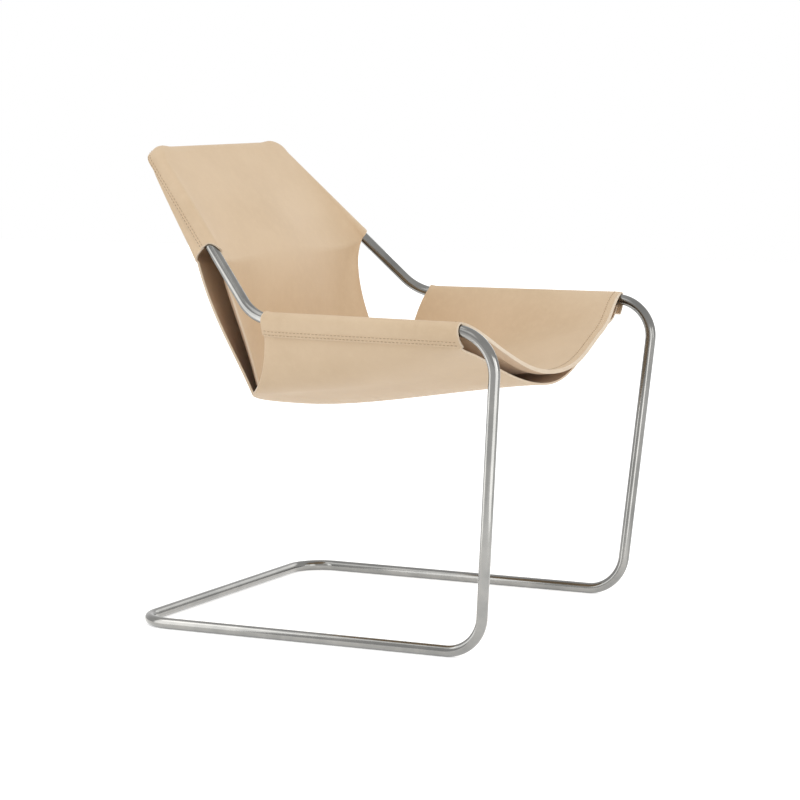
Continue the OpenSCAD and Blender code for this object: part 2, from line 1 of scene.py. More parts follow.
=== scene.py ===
import json
import math
import bpy
import numpy as np
from mathutils import Matrix, Vector

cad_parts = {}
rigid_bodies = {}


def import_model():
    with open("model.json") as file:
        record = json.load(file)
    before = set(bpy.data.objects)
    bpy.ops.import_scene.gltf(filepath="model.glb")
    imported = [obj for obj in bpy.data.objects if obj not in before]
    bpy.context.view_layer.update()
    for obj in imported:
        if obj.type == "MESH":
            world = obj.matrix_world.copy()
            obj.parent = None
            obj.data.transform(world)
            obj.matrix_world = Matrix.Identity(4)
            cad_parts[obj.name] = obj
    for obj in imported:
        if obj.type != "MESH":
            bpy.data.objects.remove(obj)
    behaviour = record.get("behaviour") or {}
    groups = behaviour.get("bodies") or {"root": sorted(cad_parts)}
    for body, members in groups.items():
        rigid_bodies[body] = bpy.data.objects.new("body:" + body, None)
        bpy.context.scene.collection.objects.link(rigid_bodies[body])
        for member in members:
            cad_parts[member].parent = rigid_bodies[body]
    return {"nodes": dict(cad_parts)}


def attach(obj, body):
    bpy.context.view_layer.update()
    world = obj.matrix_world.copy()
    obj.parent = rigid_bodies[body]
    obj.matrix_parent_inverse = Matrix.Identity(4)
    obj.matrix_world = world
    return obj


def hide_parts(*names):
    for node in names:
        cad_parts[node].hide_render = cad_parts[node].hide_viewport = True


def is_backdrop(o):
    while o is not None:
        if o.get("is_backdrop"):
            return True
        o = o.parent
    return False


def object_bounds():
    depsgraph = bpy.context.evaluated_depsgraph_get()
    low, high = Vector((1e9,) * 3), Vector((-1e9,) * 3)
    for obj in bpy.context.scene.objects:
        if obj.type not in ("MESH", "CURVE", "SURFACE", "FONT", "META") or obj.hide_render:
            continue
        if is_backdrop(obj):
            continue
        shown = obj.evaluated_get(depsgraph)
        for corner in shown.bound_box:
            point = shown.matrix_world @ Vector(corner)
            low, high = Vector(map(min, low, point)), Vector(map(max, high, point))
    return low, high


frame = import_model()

cad_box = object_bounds()
as_list = lambda b: [[float(v) for v in p] for p in b]

# named sizes, in mm, as in the part's source
BAR_D, LEATHER, PLAY = 19.0, 3.0, .6
POST_BEND_R, TOP_BEND_R, ARM_BEND_R = 87.0, 28.0, 67.0
FOOT = np.array([308.0, -323.0, BAR_D / 2])
ARM = np.array([351.0, -369.0, 537.0])
POST = np.array([317.0, 85.0, 538.0])
TOP = np.array([212.0, 333.0, 803.0])
SLEEVE_FRONT_SET, SLEEVE_REAR_SET, MOUTH_SET = 10.6, 17.2, 107.6
MOUTH_RISE_FRONT, MOUTH_RISE_OUTER = 3.0, 16.0
FLAP_ARM, FLAP_POST, TURN_FRONT, TURN_REAR, HEM = 27.0, 13.0, 18.0, 5.0, 18.0
SEAT_FRONT_DROP, SEAT_FRONT_SET, SEAT_REAR_DROP, SEAT_REAR_BACK = 93.7, 36.7, 146.7, 53.7
NOTCH_DROP, NOTCH_IN, NOTCH_BACK = 120.7, 73.0, 31.7
FRONT_GAP, REAR_GAP, BACK_SAG, MOUTH_GAP = 24.0, 21.0, 23.8, 26.0
# degrees from the bar's top, towards the seat, where the inner panel meets the bar
TOUCH_FRONT, TOUCH_REAR, TOUCH_MOUTH = 10, 58, 80
STITCH_PITCH, STITCH_LENGTH, THREAD_R, THREAD_BOW = 7.0, 4.6, .58, .42
Y_SHIFT = 9.455
flip = lambda p: p * np.array([-1.0, 1.0, 1.0])
unit = lambda a: a / np.linalg.norm(a)
mix = lambda a, b, t: a + (b - a) * t
clamp = lambda t: min(1.0, max(0.0, t))
smooth = lambda t: clamp(t) ** 2 * (3 - 2 * clamp(t))
V = lambda *a: np.array(a, float)


def bez(a, b, c, d, t):
    s = 1 - t
    return a * s ** 3 + b * 3 * s * s * t + c * 3 * s * t * t + d * t ** 3


def turn(a, b, c):
    return math.pi - math.acos(unit(a - b) @ unit(c - b))


def setback(a, b, c, r):
    return r * math.tan(turn(a, b, c) / 2)


def bend_point(a, b, c, r, ang):
    m = b + unit(unit(a - b) + unit(c - b)) * r / math.cos(turn(a, b, c) / 2)
    x, y = unit(b + unit(a - b) * setback(a, b, c, r) - m), unit(b - a)
    return m + (x * math.cos(ang) + y * math.sin(ang)) * r, y * math.cos(ang) - x * math.sin(ang)


POST_SET, TOP_SET = setback(ARM, POST, TOP, POST_BEND_R), setback(POST, TOP, flip(TOP), TOP_BEND_R)
S_ARM = np.linalg.norm(ARM - POST) - POST_SET
S_BEND = S_ARM + POST_BEND_R * turn(ARM, POST, TOP)
S_POST = S_BEND + np.linalg.norm(TOP - POST) - POST_SET - TOP_SET
S_CORNER = S_POST + TOP_BEND_R * turn(POST, TOP, flip(TOP))
S_MID = S_CORNER + TOP[0] - TOP_SET
S_HALF = (S_POST + S_CORNER) / 2
S_FRONT = setback(FOOT, ARM, POST, ARM_BEND_R) - SLEEVE_FRONT_SET
S_REAR = S_ARM + SLEEVE_REAR_SET
S_MOUTH = S_BEND + MOUTH_SET


def axis(s):
    if s <= S_ARM:
        return ARM + unit(POST - ARM) * s, unit(POST - ARM)
    if s <= S_BEND:
        return bend_point(ARM, POST, TOP, POST_BEND_R, (s - S_ARM) / POST_BEND_R)
    if s <= S_POST:
        return POST + unit(TOP - POST) * (POST_SET + s - S_BEND), unit(TOP - POST)
    if s <= S_CORNER:
        return bend_point(POST, TOP, flip(TOP), TOP_BEND_R, (s - S_POST) / TOP_BEND_R)
    return TOP - V(TOP_SET + s - S_CORNER, 0, 0), V(-1, 0, 0)


BACK_UP = unit(V(0, TOP[1] - POST[1], TOP[2] - POST[2]))
BACK_FACE = V(0, -BACK_UP[2], BACK_UP[1])


def seat_at(s):
    c, tau = axis(s)
    f = V(0, 0, 1) if s <= S_BEND else BACK_FACE
    n = unit(f - tau * (f @ tau))
    return c, n, np.cross(tau, n)


hang = lambda s, n: V(0, 0, 1) if s < S_BEND else n
WRAP = BAR_D / 2 + PLAY + LEATHER / 2
LAP = LEATHER * 1.27
BLEND = BAR_D * 3
on_post = lambda s: smooth((s - S_ARM) / (S_BEND - S_ARM + BLEND))
flap_l = lambda s: mix(FLAP_ARM, FLAP_POST, on_post(s))
turn_part = lambda s: clamp((s - S_FRONT) / (S_BEND - S_FRONT))
flap_turn = lambda s: 0.0 if s >= S_BEND else mix(TURN_FRONT, TURN_REAR, turn_part(s))
turned = lambda s, q: flap_turn(s) * q * q
mouth_rise = lambda out, d: MOUTH_RISE_FRONT * (1 + min(out, 0)) + MOUTH_RISE_OUTER * max(out, 0) + d * .15
leaned = lambda s, out, d: s if s < S_MOUTH else s + mouth_rise(out, d) * (1 - smooth((s - S_MOUTH) / BLEND))


def lift(s):
    if s < S_POST:
        return 0.0
    up = LEATHER * 0.8 * math.sin(math.pi / 2 * clamp((s - S_POST) / (S_HALF - S_POST)))
    return up * (1 - smooth((s - S_CORNER) / TOP_BEND_R)) if s > S_CORNER else up


# the inner panel's form
NOTCH = POST + V(-NOTCH_IN, NOTCH_BACK, -NOTCH_DROP)
IN_FRONT = V(0, ARM[1] + SEAT_FRONT_SET, ARM[2] - SEAT_FRONT_DROP)
IN_REAR = V(0, POST[1] + SEAT_REAR_BACK, POST[2] - SEAT_REAR_DROP)
mouth_axis = seat_at(S_MOUTH)[0]
IN_MOUTH = V(0, mouth_axis[1], mouth_axis[2]) - BACK_FACE * (BACK_SAG - WRAP)
IN_TOP = V(0, TOP[1], TOP[2]) + BACK_FACE * WRAP
span = lambda a, b: np.linalg.norm(b - a)
SEAT_L, RISE_L, BACK_L = span(IN_FRONT, IN_REAR), span(IN_REAR, IN_MOUTH), span(IN_MOUTH, IN_TOP)


def in_mid(part, t):
    if part == "seat":
        a, b = SEAT_L * V(0, .315, -.028), SEAT_L * V(0, .19, .026)
        return bez(IN_FRONT, IN_FRONT + a, IN_REAR - b, IN_REAR, t)
    if part == "notch":
        a, b = RISE_L * V(0, .18, .03), RISE_L * V(0, .12, .27)
        return bez(IN_REAR, IN_REAR + a, IN_MOUTH - b, IN_MOUTH, t)
    a, b = BACK_L * V(0, .12, .27), BACK_L * V(0, .18, .27)
    return bez(IN_MOUTH, IN_MOUTH + a, IN_TOP - b, IN_TOP, t)


IN_SIDE_FRONT = V(ARM[0] * .6, IN_FRONT[1] + SEAT_FRONT_SET * .24, IN_FRONT[2] + SEAT_FRONT_DROP * .535)


def sagged(a, b, sag, t):
    return bez(a, mix(a, b, 1 / 3) - V(0, 0, sag), mix(a, b, 2 / 3) - V(0, 0, sag), b, t)


SIDE_SAG = NOTCH_DROP * .074
in_side_line = lambda t: sagged(IN_SIDE_FRONT, NOTCH, SIDE_SAG, t)
post_part = lambda s: clamp((s - S_MOUTH) / (S_HALF - S_MOUTH))
post_off = lambda s: TOUCH_MOUTH * (1 - post_part(s)) ** 1.5


def wrap_in(s, k, off):
    deg = math.radians(mix(-off, 90, min(k, 1)))
    d, r = max(k - 1, 0) * flap_l(s), WRAP + lift(s)
    c, n, o = seat_at(leaned(s, math.sin(deg), d))
    if k <= 1:
        return c + (n * math.cos(deg) + o * math.sin(deg)) * r
    return c + o * (r - turned(s, k - 1)) - hang(s, n) * d


def off_dir(f, off):
    return -f[1] * math.sin(math.radians(off)) - f[2] * math.cos(math.radians(off))


def belly(mid, side, d, a, b, us):
    return [bez(mid, mid + V(a, 0, 0), side - d * b, side, u) for u in us]


def in_seat_row(t, g):
    s, off = mix(S_FRONT, S_REAR, t), mix(TOUCH_FRONT, TOUCH_REAR, t)
    f, side, on_bar = seat_at(s), in_side_line(t), wrap_in(s, 0, off)
    d = unit(V(1, -.86 * smooth(t), mix(.37, .2, t)))
    reach, away = np.linalg.norm(on_bar - side) * .35, off_dir(f, off) + V(0, .35 * t, 0)
    return (belly(in_mid("seat", t), side, d, side[0] * mix(.45, .33 * 1.36, t), side[0] * .31, g["belly"])
            + [bez(side, side + d * reach, on_bar + away * reach, on_bar, u) for u in g["flap"]]
            + [wrap_in(s, k, off) for k in g["arc"]])


IN_MOUTH_SIDE = wrap_in(S_MOUTH, 0, TOUCH_MOUTH)


def in_edge(t):
    l = np.linalg.norm(IN_MOUTH_SIDE - NOTCH)
    a, b = l * V(-.118, .179, .412), l * V(-.092, .046, -.16)
    return bez(NOTCH, NOTCH + a, IN_MOUTH_SIDE + b, IN_MOUTH_SIDE, t)


def in_notch_row(t, g):
    side, f = in_edge(t), seat_at(S_MOUTH)
    d = unit(mix(unit(V(1, -.86, .2)), -off_dir(f, 60), smooth(t * 1.15)))
    a, b = side[0] * mix(.45, .33, t), side[0] * mix(.31, .16, t)
    return belly(in_mid("notch", t), side, d, a, b, g["belly"])


STRAIGHT_SHARE = .3
straighter = lambda t: smooth((t - 1 + STRAIGHT_SHARE) / STRAIGHT_SHARE)


def in_post_row(s, g):
    t, off = post_part(s), post_off(s)
    on_bar, f = wrap_in(s, 0, off), seat_at(leaned(s, -math.sin(math.radians(off)), 0))
    d = unit(mix(-off_dir(f, off * .75), V(1, 0, 0), straighter(t)))
    return (belly(in_mid("post", t), on_bar, d, on_bar[0] * .33, on_bar[0] * mix(.16, .3, t), g["belly"])
            + [wrap_in(s, k, off) for k in g["ring"]])


# the outer panel's form
OUT_FRONT = IN_FRONT + V(0, SEAT_FRONT_SET * .436, -FRONT_GAP)
OUT_REAR = IN_REAR + V(0, REAR_GAP * .57, -REAR_GAP)
OUT_MOUTH = IN_MOUTH - BACK_FACE * (BAR_D + LEATHER * 3.2)
OUT_TOP = V(0, TOP[1], TOP[2]) - BACK_FACE * WRAP
NOTCH_OUT = NOTCH + V(LEATHER * .6, LEATHER * 3.5, -LEATHER * 4.4)
OUT_NOTCH_DIR, OUT_MOUTH_DIR = V(1, -.659, .244), V(1, -.7, .1)
OUT_RISE, OUT_BACK = np.linalg.norm(OUT_MOUTH - OUT_REAR), np.linalg.norm(OUT_TOP - OUT_MOUTH)


def out_mid(part, t):
    if part == "seat":
        a, b = SEAT_L * V(0, .32, -.021), SEAT_L * V(0, .19, .038)
        return bez(OUT_FRONT, OUT_FRONT + a, OUT_REAR - b, OUT_REAR, t)
    if part == "notch":
        a, b = OUT_RISE * V(0, .17, .032), OUT_RISE * V(0, .1, .3)
        return bez(OUT_REAR, OUT_REAR + a, OUT_MOUTH - b, OUT_MOUTH, t)
    a, b = OUT_BACK * V(0, .1, .3), OUT_BACK * V(0, .18, .27)
    return bez(OUT_MOUTH, OUT_MOUTH + a, OUT_TOP - b, OUT_TOP, t)


OUT_SIDE_FRONT = V(IN_SIDE_FRONT[0] * 1.09, OUT_FRONT[1] + SEAT_FRONT_SET * .19,
                   OUT_FRONT[2] + FRONT_GAP * 2.04)
front_part = lambda t: 1 - smooth(t * 4)
out_side_line = lambda t: (sagged(OUT_SIDE_FRONT, NOTCH_OUT, SIDE_SAG * 1.1, t)
                           + V(0, SEAT_FRONT_SET * .245, SEAT_FRONT_DROP * .075) * front_part(t))


def tucked(s, k):
    d = mix(mix(FLAP_ARM, FLAP_ARM * .45, k), mix(FLAP_POST, FLAP_POST * .7, k), on_post(s))
    c, n, o = seat_at(leaned(s, 1, d))
    q = d / flap_l(s)
    slope = 2 * q * flap_turn(s) / flap_l(s)
    return c + o * (WRAP + lift(s) - LAP * math.sqrt(1 + slope * slope) - turned(s, q)) - hang(s, n) * d


def wrap_out(s, k):
    g = MOUTH_GAP * (1 - clamp((s - S_MOUTH) / (S_POST - S_MOUTH))) ** .6
    c, n, o = seat_at(leaned(s, .8, 0))
    low, back = tucked(s, 0), c - n * (WRAP + g + lift(s) / 2) - o * LEATHER * .7
    if k <= 1:
        return bez(back, back + o * BAR_D * .35, low - n * (LEATHER + g * .6), low, k)
    return tucked(s, k - 1)


def out_seat_row(t, g):
    s = mix(S_FRONT + LEATHER * 3, S_REAR, t)
    f, side, lap = seat_at(s), out_side_line(t), tucked(s, 0)
    d = unit(mix(V(1, 0, .36), OUT_NOTCH_DIR, smooth(t)))
    away, l = unit(-hang(s, f[1]) - f[2] * mix(.5, .09, t)), np.linalg.norm(lap - side)
    a, b = side[0] * mix(.42, .45, t), side[0] * mix(.31 * 1.05, .2, front_part(t))
    low, high = side + d * l * mix(.6, .385, t), lap + away * l * mix(.1, .453, t)
    return (belly(out_mid("seat", t), side, d, a, b, g["belly"])
            + [bez(side, low, high, lap, u) for u in g["flap"]]
            + [tucked(s, k) for k in g["tuck"]])


OUT_MOUTH_SIDE = wrap_out(S_MOUTH, 0)


def out_edge(t):
    l = np.linalg.norm(OUT_MOUTH_SIDE - NOTCH_OUT)
    a, b = l * V(.021, .102, .246), l * V(-.059, -.073, -.397)
    return bez(NOTCH_OUT, NOTCH_OUT + a, OUT_MOUTH_SIDE + b, OUT_MOUTH_SIDE, t)


def out_notch_row(t, g):
    side = out_edge(t)
    d = unit(mix(unit(OUT_NOTCH_DIR), unit(OUT_MOUTH_DIR), smooth(t * 1.6)))
    a, b = side[0] * mix(.45, .36, t), side[0] * mix(.31, .18, t)
    return belly(out_mid("notch", t), side, d, a, b, g["belly"])


def out_post_row(s, g):
    t, f, side = post_part(s), seat_at(s), wrap_out(s, 0)
    d = unit(mix(unit(mix(unit(OUT_MOUTH_DIR), f[2], smooth(t * 3))), V(1, 0, 0), straighter(t)))
    a, b = side[0] * mix(.36, .33, t), side[0] * mix(.18, .22, t)
    return (belly(out_mid("post", t), side, d, a, b, g["belly"])
            + [wrap_out(s, k) for k in g["ring"]])


# fine grids of both panels
steps = lambda n: [i / n for i in range(1, n + 1)]
BELLY_N, SEAT_N, NOTCH_N, POST_N, CORNER_N = 26, 44, 30, 18, 7
eased = [0.5 * (i / BELLY_N) + 0.5 * (1 - (1 - i / BELLY_N) ** 1.6) for i in range(BELLY_N + 1)]
IN_FLAP, IN_ARC, IN_DROP = 14, 14, 18
OUT_FLAP, OUT_TUCK = 26, 6
drop_steps = [1 + u for u in steps(IN_DROP)]
tuck_steps = [1 + u for u in steps(OUT_TUCK)]
g_in = {"belly": eased, "flap": steps(IN_FLAP), "arc": steps(IN_ARC) + drop_steps,
        "ring": steps(IN_FLAP + IN_ARC) + drop_steps}
g_out = {"belly": eased, "flap": steps(OUT_FLAP), "tuck": steps(OUT_TUCK),
         "ring": steps(OUT_FLAP) + tuck_steps}
hem_share = HEM / SEAT_L
seat_ts = [hem_share * u for u in (0, .12, .3, .55, .8, .93, 1, 1.06, 1.14, 1.3)]
seat_ts += [mix(hem_share * 1.3, 1, i / (SEAT_N - 9)) for i in range(1, SEAT_N - 8)]
post_ss = [S_MOUTH + (S_POST - S_MOUTH) * (i / POST_N) ** 1.25 for i in range(POST_N + 1)]
post_ss += [mix(S_POST, S_HALF, i / CORNER_N) for i in range(1, CORNER_N)]
TOP_N = BELLY_N - CORNER_N
top_ss = [mix(S_MID, S_CORNER, i / TOP_N) for i in range(TOP_N + 1)]
top_ss += [mix(S_CORNER, S_HALF, i / CORNER_N) for i in range(1, CORNER_N)] + [S_HALF]


def panel_rows(seat_row, notch_row, post_row, wrap, g):
    rows = [seat_row(t, g) for t in seat_ts] + [notch_row(i / NOTCH_N, g) for i in range(1, NOTCH_N)]
    rows += [post_row(s, g) for s in post_ss]
    rows.append([wrap(s, 0) for s in top_ss] + [wrap(S_HALF, k) for k in g["ring"]])
    rows += [[wrap(s, k) for s in top_ss] for k in g["ring"]]
    return rows


class Grid:
    """A panel's grid with its side notches left out and its top corners folded, as in the part's source."""

    def __init__(self, rows, side):
        self.side = side
        self.v = len(seat_ts) - 1
        self.m = self.v + NOTCH_N
        self.t = self.m + len(post_ss)
        self.last = self.t + side
        self.ids, self.points = {}, []
        for i in range(self.last + 1):
            for j in range(-self.half(i), self.half(i) + 1):
                self.ids[i, j] = len(self.points)
                p = rows[i][abs(j)]
                self.points.append(flip(p) if j < 0 else p)
        reach = BELLY_N + side
        cells = [(i, j) for i in range(self.last) for j in range(-reach, reach) if self.cell(i, j)]
        self.quads = [[self.at(i, j), self.at(i, j + 1), self.at(i + 1, j + 1), self.at(i + 1, j)]
                      for i, j in cells]
        self.points = np.array(self.points)
        q = self.points[np.array(self.quads)]
        n = np.cross(q[:, 2] - q[:, 0], q[:, 3] - q[:, 1])
        n = n / np.maximum(np.linalg.norm(n, axis=1), 1e-9)[:, None]
        self.normals = np.zeros_like(self.points)
        for k in range(4):
            np.add.at(self.normals, np.array(self.quads)[:, k], n)
        self.normals /= np.maximum(np.linalg.norm(self.normals, axis=1), 1e-9)[:, None]

    def half(self, i):
        if i <= self.v or self.m <= i <= self.t:
            return BELLY_N + self.side
        return BELLY_N if i < self.m else BELLY_N - 1

    def cell(self, i, j):
        if not (0 <= i < self.last and -BELLY_N - self.side <= j < BELLY_N + self.side):
            return False
        return i < self.v or self.m <= i < self.t or -BELLY_N <= j < BELLY_N

    def place(self, i, j):
        if i > self.t and abs(j) == BELLY_N:
            return self.t, (1 if j > 0 else -1) * (BELLY_N + i - self.t)
        return i, j

    def at(self, i, j):
        return self.ids[self.place(i, j)]


def new_mesh(name, verts, faces, mats):
    me = bpy.data.meshes.new(name)
    me.from_pydata([tuple(float(c) for c in p) for p in verts], [], faces)
    me.update()
    ob = bpy.data.objects.new(name, me)
    bpy.context.scene.collection.objects.link(ob)
    for m in mats:
        me.materials.append(m)
    return ob


def to_m(p):
    return (np.asarray(p) + V(0, Y_SHIFT, 0)) * .001


def border_points(grid):
    """Points on the panel's cut edge: those of an edge that only one cell has."""
    seen = {}
    for q in grid.quads:
        for a, b in zip(q, q[1:] + q[:1]):
            seen[frozenset((a, b))] = seen.get(frozenset((a, b)), 0) + 1
    return sorted({p for e, c in seen.items() if c == 1 for p in e})


HEM_END, HEM_EASE, HEM_PLAY, HEM_STEP, RIM_SWELL = BELLY_N + IN_FLAP + 2, 6, .8, 1.2, .45


def panel(name, grid, mats, hem):
    """Outer and inner faces of the leather at half its thickness each way, with cut edges between them."""
    n = len(grid.points)
    low = np.full(n, LEATHER / 2)
    if hem:
        for (i, j), k in grid.ids.items():
            over = smooth((HEM_END - abs(j)) / HEM_EASE)
            if i <= grid.v and seat_ts[i] <= hem_share * 1.001:
                low[k] += (LEATHER + HEM_PLAY) * over
            elif i <= grid.v and seat_ts[i] <= hem_share * 1.07:
                low[k] += HEM_STEP * over
    high = np.full(n, LEATHER / 2)
    rim = border_points(grid)
    high[rim] += RIM_SWELL
    low[rim] += RIM_SWELL
    top, bottom = grid.points + grid.normals * high[:, None], grid.points - grid.normals * low[:, None]
    faces = [list(q) for q in grid.quads] + [[b + n for b in reversed(q)] for q in grid.quads]
    seen = {}
    for q in grid.quads:
        for e in range(4):
            a, b = q[e], q[(e + 1) % 4]
            if (b, a) in seen:
                seen[b, a] = None
            else:
                seen[a, b] = True
    walls = [e for e, v in seen.items() if v]
    faces += [[b, a, a + n, b + n] for a, b in walls]
    ob = new_mesh(name, to_m(np.concatenate([top, bottom])), faces, mats)
    me = ob.data
    nq = len(grid.quads)
    index = np.zeros(len(me.polygons), np.int32)
    index[nq:2 * nq] = 1
    index[2 * nq:] = 2
    me.polygons.foreach_set("material_index", index)
    me.polygons.foreach_set("use_smooth", np.ones(len(me.polygons), bool))
    border = {frozenset(e) for e in walls}
    weight = me.attributes.new("bevel_weight_edge", "FLOAT", "EDGE")
    hem_verts = {grid.at(0, j) for j in range(-grid.half(0), grid.half(0) + 1)} if hem else set()
    w = np.zeros(len(me.edges))
    for e in me.edges:
        a, b = e.vertices
        if frozenset((a % n, b % n)) in border and (a < n) == (b < n):
            w[e.index] = 1.0 if a % n in hem_verts and b % n in hem_verts else .42
    weight.data.foreach_set("value", w)
    bev = ob.modifiers.new("edges", "BEVEL")
    bev.limit_method, bev.width, bev.segments = "WEIGHT", .0022, 3
    # the bevels take the cut-edge material, whose light colour is partly a painted highlight
    bev.material = 2
    return ob


# materials
def lin(r, g, b):
    f = lambda c: c / 12.92 if c <= .04045 else ((c + .055) / 1.055) ** 2.4
    return (f(r / 255), f(g / 255), f(b / 255), 1)


class Nodes:
    def __init__(self, name):
        self.mat = bpy.data.materials.new(name)
        self.mat.use_nodes = True
        self.t = self.mat.node_tree
        self.t.nodes.clear()
        self.out = self.t.nodes.new("ShaderNodeOutputMaterial")

    def add(self, kind, **inputs):
        n = self.t.nodes.new(kind)
        for k, v in inputs.items():
            s = n.inputs[int(k[1:])] if k[0] == "i" and k[1:].isdigit() else n.inputs[k.replace("_", " ")]
            if hasattr(v, "is_linked"):
                self.t.links.new(v, s)
            else:
                s.default_value = v
        return n

    def ramp(self, fac, stops):
        n = self.t.nodes.new("ShaderNodeValToRGB")
        self.t.links.new(fac, n.inputs[0])
        while len(n.color_ramp.elements) < len(stops):
            n.color_ramp.elements.new(.5)
        for e, (p, c) in zip(n.color_ramp.elements, stops):
            e.position = p
            e.color = c if hasattr(c, "__len__") else (c, c, c, 1)
        return n.outputs[0]

    def mix(self, fac, a, b):
        n = self.t.nodes.new("ShaderNodeMix")
        n.data_type = "RGBA"
        for s, v in ((n.inputs[0], fac), (n.inputs[6], a), (n.inputs[7], b)):
            if hasattr(v, "is_linked"):
                self.t.links.new(v, s)
            else:
                s.default_value = v
        return n.outputs[2]

    def finish(self, shader):
        self.t.links.new(shader, self.out.inputs[0])
        return self.mat


def leather(name, base, deep, pale, rough, grain=.12, fibre=False):
    m = Nodes(name)
    co = m.add("ShaderNodeTexCoord").outputs["Object"]
    cloud = m.add("ShaderNodeTexNoise", Vector=co, Scale=5.5, Detail=4.0, Roughness=.55)
    fleck = m.add("ShaderNodeTexNoise", Vector=co, Scale=70.0, Detail=5.0, Roughness=.65)
    colour = m.mix(m.ramp(cloud.outputs[0], [(.36, 0.), (.64, 1.)]), lin(*deep), lin(*base))
    colour = m.mix(m.ramp(fleck.outputs[0], [(.45, 0.), (.78, .35)]), colour, lin(*pale))
    pores = m.add("ShaderNodeTexVoronoi", Vector=co, Scale=900.0 if fibre else 620.0)
    fine_scale = 480.0 if fibre else 260.0
    grain_n = m.add("ShaderNodeTexNoise", Vector=co, Scale=fine_scale, Detail=6.0, Roughness=.7)
    crease = m.add("ShaderNodeTexNoise", Vector=co, Scale=34.0, Detail=3.0, Roughness=.5)
    sag = m.add("ShaderNodeTexNoise", Vector=co, Scale=9.0, Detail=2.0, Roughness=.45)
    height = m.add("ShaderNodeMath", i0=pores.outputs["Distance"], i1=grain_n.outputs[0])
    height.operation = "ADD"
    grain_strength = grain * (1.6 if fibre else 1)
    b1 = m.add("ShaderNodeBump", Strength=grain_strength, Distance=.0006, Height=height.outputs[0])
    b2 = m.add("ShaderNodeBump", Strength=.06, Distance=.004, Height=crease.outputs[0], Normal=b1.outputs[0])
    b3 = m.add("ShaderNodeBump", Strength=.16, Distance=.01, Height=sag.outputs[0], Normal=b2.outputs[0])
    r = m.ramp(fleck.outputs[0], [(.3, rough - .05), (.75, rough + .08)])
    s = m.add("ShaderNodeBsdfPrincipled", Base_Color=colour, Roughness=r, Normal=b3.outputs[0])
    s.inputs["Specular IOR Level"].default_value = .1 if fibre else .24
    s.inputs["Sheen Weight"].default_value = .25 if fibre else 0
    s.inputs["Sheen Roughness"].default_value = .5
    return m.finish(s.outputs[0])


def steel():
    m = Nodes("brushed_bar")
    co = m.add("ShaderNodeTexCoord").outputs["Object"]
    fine = m.add("ShaderNodeTexNoise", Vector=co, Scale=900.0, Detail=3.0, Roughness=.6)
    wide = m.add("ShaderNodeTexNoise", Vector=co, Scale=14.0, Detail=4.0, Roughness=.6)
    colour = m.mix(m.ramp(wide.outputs[0], [(.35, 0.), (.7, 1.)]), lin(118, 118, 116), lin(136, 135, 132))
    r = m.ramp(fine.outputs[0], [(.3, .11), (.7, .19)])
    b = m.add("ShaderNodeBump", Strength=.02, Distance=.0001, Height=fine.outputs[0])
    s = m.add("ShaderNodeBsdfPrincipled", Base_Color=colour, Roughness=r, Normal=b.outputs[0])
    s.inputs["Metallic"].default_value = 1.0
    return m.finish(s.outputs[0])


def thread_mat():
    m = Nodes("waxed_thread")
    co = m.add("ShaderNodeTexCoord").outputs["Object"]
    twist = m.add("ShaderNodeTexNoise", Vector=co, Scale=1400.0, Detail=2.0)
    colour = m.mix(m.ramp(twist.outputs[0], [(.35, 0.), (.65, 1.)]), lin(160, 134, 103), lin(209, 186, 155))
    b = m.add("ShaderNodeBump", Strength=.3, Distance=.0003, Height=twist.outputs[0])
    s = m.add("ShaderNodeBsdfPrincipled", Base_Color=colour, Normal=b.outputs[0])
    s.inputs["Roughness"].default_value = .6
    return m.finish(s.outputs[0])


skin = leather("grain_side", (220, 195, 163), (213, 187, 154), (228, 205, 174), .52)
flesh = leather("flesh_side", (222, 192, 158), (212, 180, 143), (230, 203, 172), .85, .3, True)
# cut edges and bevels: paler raw-edge leather colour, made lighter still as a painted highlight on the rims
# that face the light
edge = leather("cut_edge_with_painted_highlight", (236, 218, 194), (226, 205, 178), (242, 227, 206), .7, .3, True)
metal, yarn = steel(), thread_mat()
BAR_STARTS = ("rear_corner", "runner", "foot_bend", "front_leg", "arm_bend", "arm_left", "arm_right",
              "post_bend", "post_left", "post_right", "top_corner")
for n in [n for n in frame["nodes"] if n.endswith("_bar") or n.startswith(BAR_STARTS)]:
    ob = frame["nodes"][n]
    for k in range(max(1, len(ob.material_slots))):
        if k < len(ob.material_slots):
            ob.material_slots[k].material = metal
        else:
            ob.data.materials.append(metal)

# the two panels
wrap_in_top = lambda s, k: wrap_in(s, k, 0)
inner = Grid(panel_rows(in_seat_row, in_notch_row, in_post_row, wrap_in_top, g_in), len(g_in["ring"]))
outer = Grid(panel_rows(out_seat_row, out_notch_row, out_post_row, wrap_out, g_out), len(g_out["ring"]))
inner_ob = panel("leather_inner", inner, [skin, flesh, edge], True)
outer_ob = panel("leather_outer", outer, [flesh, skin, edge], False)
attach(inner_ob, "root")
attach(outer_ob, "root")
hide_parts("inner_panel")
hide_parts("outer_panel")


# stitches
RINGS, SIDES = 7, 6


